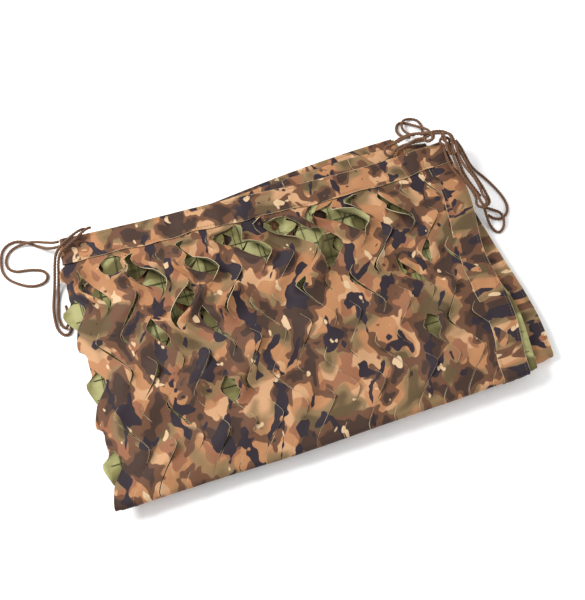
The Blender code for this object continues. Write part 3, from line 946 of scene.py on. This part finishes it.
def tape(name, edge, inward, steps, on_side):
    """A tape along an edge of the net: at u = edge if it is on a side, else at v = edge."""
    grid = bmesh.new()
    bmesh.ops.create_grid(grid, x_segments=len(TAPE_COLUMNS) - 1, y_segments=len(steps) - 1, size=0.5)
    co = np.array([corner.co for corner in grid.verts])
    across = TAPE_COLUMNS[np.rint((co[:, 0] + 0.5) * (len(TAPE_COLUMNS) - 1)).astype(int)]
    along = steps[np.rint((co[:, 1] + 0.5) * (len(steps) - 1)).astype(int)]
    stray = edge + inward * (across + band_waver(along) * (across / TAPE_WIDTH) ** 2)
    u, v = (stray, along) if on_side else (along, stray)
    relief = band_relief(np.minimum(across, TAPE_WIDTH - across), along)
    places = folded(u, v, TAPE_RISE + relief)
    places[:, 2] = np.maximum(places[:, 2], TAPE_THICK / 2 + 0.02 * MM)
    if (inward > 0) != on_side:
        bmesh.ops.reverse_faces(grid, faces=grid.faces[:])
    flat = np.stack([edge + inward * across, along] if on_side else [along, edge + inward * across], -1)
    # The tape's folded edges go in the cut map, so the print paints a pale highlight along them
    painted_fold_highlight = np.where((across < 0.1 * MM) | (across > TAPE_WIDTH - 0.1 * MM), 1.0, 0.0)
    return finished_sheet(name, grid, places, flat, TAPE_THICK, painted_fold_highlight)


side_steps = long_steps(SIDE_START, NET_LENGTH - SIDE_START, TAPE_STEP)
end_steps = cross_steps(-HALF_WIDTH, HALF_WIDTH, TAPE_STEP)
tapes = {
    "tape_head": tape("head_tape", 0.0, 1, end_steps, False),
    "tape_foot": tape("foot_tape", NET_LENGTH, -1, end_steps, False),
    "tape_side_upper": tape("upper_side_tape", HALF_WIDTH, -1, side_steps, True),
    "tape_side_lower": tape("lower_side_tape", -HALF_WIDTH, 1, side_steps, True),
}
print("tapes:", ", ".join(piece.name for piece in tapes.values()))

# %% [markdown]
# ## Stitches
#
# Two rows of lockstitch hold each tape. A stitch is a short piece of thread that dips into the cloth at
# both ends, so it is a tube of four rings with narrow ends. A texture of dashes would do from far off,
# but it has no thread to catch the light. All the stitches are one object.

# %% Stitches
STITCH = 2.7 * MM
STITCH_PITCH = 3.8 * MM
THREAD = 0.5 * MM
ALONG_STITCH = np.array([-0.5, -0.25, 0.25, 0.5]) * STITCH
STITCH_DEPTH = np.array([-0.35, -0.02, -0.02, -0.35]) * MM


def stitch_rows():
    """The lines of the stitches, four places on each."""
    height = TAPE_RISE + TAPE_THICK / 2 + STITCH_DEPTH
    side_places = np.arange(SIDE_START + STITCH, NET_LENGTH - SIDE_START - STITCH, STITCH_PITCH)
    end_places = np.arange(STITCH - HALF_WIDTH, HALF_WIDTH - STITCH, STITCH_PITCH)
    end_places = end_places[np.abs(end_places) > 2 * STITCH]
    lines = []
    for inset in (STITCH_INSET, TAPE_WIDTH - STITCH_INSET):
        share = (inset / TAPE_WIDTH) ** 2
        for sign in (1, -1):
            for middle in side_places:
                u = sign * (HALF_WIDTH - inset - band_waver(middle) * share)
                lines.append(folded(np.full(4, u), middle + ALONG_STITCH, height))
        for edge, inward in ((0.0, 1), (NET_LENGTH, -1)):
            for middle in end_places:
                v = edge + inward * (inset + band_waver(middle) * share)
                lines.append(folded(middle + ALONG_STITCH, np.full(4, v), height))
    return lines


stitch_lines = stitch_rows()
stitching = add_tubes("stitching", stitch_lines, [THREAD / 2] * 4, taper=True)
print(len(stitch_lines), "stitches")

# %% [markdown]
# ## The backing net
#
# Thin olive strings run along and across the reverse of the cloth, 24 mm apart, and keep the slit sheet
# in shape. They show as dark threads over the green wherever a slit gapes. They follow the folds but not
# the leaves, so they are plain tubes along lines of the flat net. A texture would be cheaper, but it
# couldn't cross an opening.

# %% Strings
STRING_PITCH = 24 * MM
STRING = 0.7 * MM
STRING_STEP = 10 * MM
STRING_INSET = 4 * MM
STRING_STRAY = 1.2 * MM
string_out = -(CLOTH / 2 + STRING / 2 + 0.1 * MM)


def string_lines():
    """The strings' lines: those along the net, and then those across it."""
    lines = []
    v_steps = long_steps(STRING_INSET, NET_LENGTH - STRING_INSET, STRING_STEP)
    for u in np.arange(STRING_PITCH / 2, HALF_WIDTH, STRING_PITCH):
        for sign in (1, -1):
            stray = STRING_STRAY * np.sin(v_steps / 0.05 + 40 * u)
            lines.append(folded(sign * u + stray, v_steps, string_out))
    u_steps = cross_steps(STRING_INSET - HALF_WIDTH, HALF_WIDTH - STRING_INSET, STRING_STEP)
    for v in np.arange(STRING_PITCH / 2, NET_LENGTH, STRING_PITCH):
        stray = STRING_STRAY * np.sin(u_steps / 0.06 + 50 * v)
        lines.append(folded(u_steps, v + stray, string_out))
    return lines


backing = add_tubes("backing_strings", string_lines(), [STRING / 2] * 4)
print("string triangles:", sum(len(face.vertices) - 2 for face in backing.data.polygons))

# %% [markdown]
# ## Shader sums
#
# The finishes are made of noise patterns and masks, which take many small sums. A class that wraps a
# socket lets them be written as Python expressions, and one method adds any other node.

# %% Sockets as Python values
class Socket:
    """A node's output that can be used in sums. Each sum adds a Math node."""

    def __init__(self, finish, socket):
        self.finish, self.socket = finish, socket

    def math(self, operation, *values):
        return self.finish.node("ShaderNodeMath", {"operation": operation}, dict(enumerate(values)))

    def __add__(self, other):
        return self.math("ADD", self, other)

    __radd__ = __add__

    def __sub__(self, other):
        return self.math("SUBTRACT", self, other)

    def __rsub__(self, other):
        return self.math("SUBTRACT", other, self)

    def __mul__(self, other):
        return self.math("MULTIPLY", self, other)

    __rmul__ = __mul__

    def sine(self):
        return self.math("SINE", self)

    def size(self):
        return self.math("ABSOLUTE", self)

    def most(self, other):
        return self.math("MAXIMUM", self, other)

    def above(self, level, softness):
        """0 below a level and 1 above it, with a soft step between."""
        return self.finish.node(
            "ShaderNodeMapRange", {"interpolation_type": "SMOOTHSTEP"},
            {"Value": self, "From Min": level - softness, "From Max": level + softness},
        )


# %% Finishes
class Finish:
    """A material of one Principled shader, and the nodes that feed it."""

    def __init__(self, name, **constants):
        self.material = bpy.data.materials.new(name)
        self.material.use_nodes = True
        self.tree = self.material.node_tree
        self.shader = self.tree.nodes["Principled BSDF"]
        for socket, value in constants.items():
            self.shader.inputs[socket.replace("_", " ")].default_value = value

    def node(self, kind, settings, inputs, output=0):
        made = self.tree.nodes.new(kind)
        for setting, value in settings.items():
            setattr(made, setting, value)
        for name, value in inputs.items():
            self.plug(made.inputs[name], value)
        return Socket(self, made.outputs[output])

    def plug(self, socket, value):
        if isinstance(value, Socket):
            self.tree.links.new(value.socket, socket)
        else:
            socket.default_value = value

    def feed(self, name, value):
        self.plug(self.shader.inputs[name], value)

    def flat_place(self, across=1.0, along=1.0, shift=0.0, turn=0.0):
        """The place on the flat cloth in metres, turned, scaled and moved."""
        place = self.node("ShaderNodeUVMap", {"uv_map": "flat"}, {})
        if turn:
            rotation = (0, 0, math.radians(turn))
            place = self.node("ShaderNodeMapping", {}, {"Vector": place, "Rotation": rotation})
        moved = {"Vector": place, "Location": (shift, shift, 0), "Scale": (across, along, 1)}
        return self.node("ShaderNodeMapping", {}, moved)

    def parts(self, vector):
        """The X and the Y of a vector."""
        x = self.node("ShaderNodeSeparateXYZ", {}, {"Vector": vector})
        return x, Socket(self, x.socket.node.outputs["Y"])

    def noise(self, place, scale, detail=2.0, roughness=0.5, distortion=0.0):
        inputs = {
            "Vector": place, "Scale": scale, "Detail": detail, "Roughness": roughness,
            "Distortion": distortion,
        }
        return self.node("ShaderNodeTexNoise", {"noise_dimensions": "2D"}, inputs)

    def blend(self, share, below, above):
        """One colour painted over another where share is 1."""
        colour_inputs = {0: share, 6: below, 7: above}
        return self.node("ShaderNodeMix", {"data_type": "RGBA"}, colour_inputs, output=2)

    def bump(self, height, distance, strength=1.0, over=None):
        """A normal for this relief, on top of another normal if there is one."""
        inputs = {"Height": height, "Distance": distance, "Strength": strength}
        return self.node("ShaderNodeBump", {}, inputs | ({"Normal": over} if over else {}))


def colour(red, green, blue):
    """A Blender colour from the usual 0 to 255 values."""
    def linear(c):
        c = c / 255
        return c / 12.92 if c <= 0.04045 else ((c + 0.055) / 1.055) ** 2.4

    return (linear(red), linear(green), linear(blue), 1.0)


# %% [markdown]
# ## The print
#
# The camouflage is printed in layers, as a real one is: sand and peach first, then khaki clouds with soft
# edges, browns with hard edges, narrow dark shapes, and small cream flecks on top. Each layer is a noise
# pattern that is cut off at a level, and the level decides how much of the cloth it covers. The dark
# shapes lie where a stretched noise is near its middle value, which draws winding bands, and two more
# noises swell the bands and break them up. It could be painted as an image, but nodes stay sharp from
# close by. The pattern is read from the flat cloth, so it follows the leaves and goes round the folds as
# a print does.

# %% Print
SAND = colour(178, 125, 83)
PEACH = colour(198, 152, 111)
KHAKI = colour(136, 109, 73)
OLIVE = colour(94, 75, 46)
MID_BROWN = colour(104, 69, 46)
ROSE_BROWN = colour(148, 97, 67)
DARK_BROWN = colour(64, 44, 32)
NIGHT = colour(40, 31, 38)
CREAM = colour(214, 182, 143)
PALE_YARN = colour(212, 192, 154)


def camouflage(finish, shift, turn, stretch):
    """The printed colours. turn is the way that the dark shapes run, and stretch draws the pattern out."""
    def place(across=1.0, along=1.0, move=0.0, turned=0.0):
        return finish.flat_place(across * stretch[0], along * stretch[1], shift + move, turned)

    even = place()
    crowding = 0.12 * (finish.noise(place(move=21), 5.0, 1) - 0.5)
    ground = finish.blend(finish.noise(place(1.0, 0.8, 5.3), 24, 1.4, 0.5).above(0.54, 0.012), SAND, PEACH)
    rose = finish.blend(finish.noise(place(1.0, 0.8, 1.9), 34, 1.4).above(0.58, 0.012), ground, ROSE_BROWN)
    clouds = finish.noise(even, 22, 1.2, 0.45, 0.2)
    clouded = finish.blend(clouds.above(0.54, 0.05), rose, KHAKI)
    shaded = finish.blend(clouds.above(0.65, 0.04), clouded, OLIVE)
    browns = finish.noise(place(1.0, 0.85, 7.3), 30, 2.0, 0.5, 0.2) + crowding
    browned = finish.blend(browns.above(0.515, 0.010), shaded, MID_BROWN)
    deep = finish.blend(browns.above(0.605, 0.020), browned, DARK_BROWN)
    winding = (finish.noise(place(1.5, 0.62, 3.7, turn), 19, 0.8, 0.4, 0.2) - 0.5).size()
    bulges = 0.056 + 0.24 * (finish.noise(even, 72, 0.8) - 0.5)
    broken = 0.42 * (finish.noise(place(1.2, 0.9, 15), 27, 0.8) - 0.5)
    night = finish.blend((bulges - winding + broken).above(0.044, 0.006), deep, NIGHT)
    flecks = finish.noise(place(1.1, 0.8, 11.9), 44, 2.0, 0.5, 0.2)
    return finish.blend(flecks.above(0.72, 0.010), night, CREAM)


# %% [markdown]
# The cloth itself is a thin plain weave. Its printed side is matt and a little creased, its reverse is
# plain green in paler and darker patches, and where it is cut the pale yarn shows as a thin light line.
# The weave is far too fine to be a mesh, so it is a bump of two crossing waves, and creases are a second,
# wider bump under it.

# %% Weave, print side, reverse and cut edge
WEAVE_PITCH = 0.9 * MM
WEAVE_DEPTH = 0.04 * MM


def weave(finish, pitch):
    """The height of a plain weave of this pitch."""
    across, along = finish.parts(finish.flat_place())
    waves = 2 * PI / pitch
    return (across * waves).sine().size() + (along * waves).sine().size()


def printed(name, shift, turn, stretch=(1.0, 1.0)):
    """The printed side of the cloth and the tapes: ink, a faint grain, pale yarn along the cloth's cut edges,
    a painted highlight along the tapes' folded edges, creases and weave.
    """
    finish = Finish(name, Sheen_Weight=0.04, Sheen_Roughness=0.4, Specular_IOR_Level=0.25)
    grain = finish.noise(finish.flat_place(), 700, 2)
    ink = camouflage(finish, shift, turn, stretch)
    shade = finish.blend(0.30 * finish.noise(finish.flat_place(), 900, 1), ink, NIGHT)
    # Pale yarn along the cloth's cut edges; on the tapes the same pale line is a painted highlight along
    # their folded edges
    cut_yarn_and_fold_highlight, _ = finish.parts(finish.node("ShaderNodeUVMap", {"uv_map": "cut"}, {}))
    shown = finish.noise(finish.flat_place(), 60, 2).above(0.42, 0.14)
    shade = finish.blend(0.75 * shown * cut_yarn_and_fold_highlight.above(0.72, 0.14), shade, PALE_YARN)
    finish.feed("Base Color", shade)
    finish.feed("Roughness", 0.60 + 0.16 * grain)
    creases = finish.noise(finish.flat_place(), 55, 3)
    surface = finish.bump(creases, 1.2 * MM, 0.6)
    finish.feed("Normal", finish.bump(weave(finish, WEAVE_PITCH), WEAVE_DEPTH, 0.6, over=surface))
    return finish.material


def reverse(name):
    """The back of the cloth: plain green in paler and darker patches."""
    finish = Finish(name, Sheen_Weight=0.1, Specular_IOR_Level=0.3)
    place = finish.flat_place()
    tone = finish.noise(place, 26, 3, 0.6)
    patches = finish.noise(finish.flat_place(shift=7.3), 21, 1)
    green = finish.blend(tone.above(0.5, 0.2), colour(116, 110, 62), colour(166, 163, 112))
    green = finish.blend(patches.above(0.54, 0.05), green, colour(92, 84, 46))
    finish.feed("Base Color", finish.blend(0.2 * finish.noise(place, 700, 2), green, colour(92, 88, 44)))
    finish.feed("Roughness", 0.75 + 0.1 * tone)
    finish.feed("Normal", finish.bump(weave(finish, WEAVE_PITCH), WEAVE_DEPTH, 0.6))
    return finish.material


def cut_edge(name):
    """Where the cloth is cut its pale yarn shows."""
    finish = Finish(name, Specular_IOR_Level=0.2)
    yarn = finish.noise(finish.flat_place(), 900, 2)
    finish.feed("Base Color", finish.blend(yarn, colour(188, 172, 136), colour(216, 202, 168)))
    finish.feed("Roughness", 0.8 + 0.1 * yarn)
    return finish.material


def dress(piece, materials):
    """Puts materials in a piece's slots in order."""
    slots = piece.data.materials
    while len(slots) < len(materials):
        slots.append(None)
    for i, material in enumerate(materials):
        slots[i] = material


# %% Finishes of the cloth and the tapes
print_finish = printed("printed_cloth", 0.31, -18)
reverse_finish = reverse("cloth_reverse")
edge_finish = cut_edge("cut_cloth_edge")
side_tape_finish = printed("side_tape_print", 5.0, 80, stretch=(0.6, 1.4))
end_tape_finish = printed("end_tape_print", 9.0, 20, stretch=(1.1, 1.2))
print("print made of", len(print_finish.node_tree.nodes), "nodes")

# %% [markdown]
# ## Cord, thread and string
#
# The thick strands of a cord are in its mesh. The fine yarn in them is a pattern of two crossing
# diagonals, as bump and as a painted highlight on the raised yarn with painted shade between. The
# colour is also painted paler on the strands' tops and darker in the grooves between them, as painted
# highlight and shade. Thread and strings are too thin for more than that pattern and a little unevenness.

# %% Cord and thread finishes
def yarn_finish(name, dark, light, pitch, depth, lobes=0):
    """A twisted or braided finish: two sets of diagonals of this pitch round and along a tube, as bump and as
    painted highlight and shade.

    lobes is how often the strands rise and fall for each metre round the tube, painted paler on their tops
    and darker in the grooves.
    """
    finish = Finish(name, Specular_IOR_Level=0.25, Sheen_Weight=0.05)
    round_it, along = finish.parts(finish.flat_place())
    waves = 2 * PI / pitch
    one = (round_it * waves + along * waves).sine()
    other = (round_it * waves - along * waves).sine()
    braid = one.most(other)
    wear = finish.noise(finish.flat_place(), 260, 3)
    # Painted shade and highlight: the strands' tops are painted paler and their grooves darker
    strands = 0.5 + 0.5 * (lobes * round_it + PI / 2).sine() if lobes else 0.5
    # Painted highlight and shade: the braid's raised yarn and the strand tops paler, the rest darker, varied
    # at random by wear
    paler = (0.10 + 0.3 * braid + 0.5 * strands) * (0.3 + wear)
    finish.feed("Base Color", finish.blend(paler, dark, light))
    finish.feed("Roughness", 0.55 + 0.25 * wear)
    finish.feed("Normal", finish.bump(braid, depth))
    return finish.material


cord_finish = yarn_finish(
    "braided_cord", colour(70, 46, 32), colour(166, 120, 88), 1.6 * MM, 0.25 * MM,
    lobes=STRANDS / np.mean(CORD_RING),
)
string_finish = yarn_finish("olive_string", colour(50, 48, 28), colour(96, 92, 58), 0.55 * MM, 0.05 * MM)
thread_finish = yarn_finish(
    "sewing_thread", colour(92, 72, 54), colour(150, 124, 98), 0.4 * MM, 0.04 * MM
)

# %% Dress the pieces
dress(net_cloth, [print_finish, reverse_finish, edge_finish])
for node_name, piece in tapes.items():
    finish = side_tape_finish if "side" in node_name else end_tape_finish
    dress(piece, [finish, reverse_finish, finish])
for piece in cord_pieces:
    dress(piece, [cord_finish])
dress(backing, [string_finish])
dress(stitching, [thread_finish])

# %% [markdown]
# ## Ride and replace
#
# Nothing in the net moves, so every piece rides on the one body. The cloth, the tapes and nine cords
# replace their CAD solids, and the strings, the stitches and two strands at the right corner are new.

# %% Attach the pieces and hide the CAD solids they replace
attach(net_cloth, "root")
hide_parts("net_cloth")
for node_name, piece in tapes.items():
    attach(piece, "root")
    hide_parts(node_name)
    length = NET_LENGTH - 2 * SIDE_START if "side" in node_name else 2 * HALF_WIDTH
for piece, slot in ((backing, "tie_cord"), (stitching, "border_tape")):
    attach(piece, "root")

# %% [markdown]
# ## Floor and light
#
# A pale floor that fills the view and large soft lights, as in a small studio: one big light from the
# upper left and back gives the leaves their shadows, a weaker one from the right fills them, and the
# world is nearly white.

# %% Floor
bpy.ops.mesh.primitive_plane_add(size=12, location=(0, 0, 0))
floor = bpy.context.object
floor.name = "floor"
floor_finish = Finish("pale_floor", Specular_IOR_Level=0.1)
floor_finish.feed("Base Color", (0.98, 0.98, 0.98, 1))
floor_finish.feed("Roughness", 0.9)
dress(floor, [floor_finish.material])

# %% Lights
def soft_light(name, place, size, power):
    light = bpy.data.objects.new(name, bpy.data.lights.new(name, "AREA"))
    light.data.shape = "DISK"
    light.data.size = size
    light.data.energy = power
    light.location = place
    light.rotation_mode = "QUATERNION"
    light.rotation_quaternion = (-Vector(place)).to_track_quat("-Z", "Y")
    bpy.context.scene.collection.objects.link(light)


soft_light("key", (-1.15, 0.75, 1.35), 0.90, 38)
soft_light("fill", (1.3, -0.9, 1.5), 1.4, 8)
world = bpy.context.scene.world or bpy.data.worlds.new("studio")
bpy.context.scene.world = world
world.use_nodes = True
world.node_tree.nodes["Background"].inputs["Color"].default_value = (1, 1, 1, 1)
world.node_tree.nodes["Background"].inputs["Strength"].default_value = 0.74
bpy.context.scene.view_settings.view_transform = "Standard"
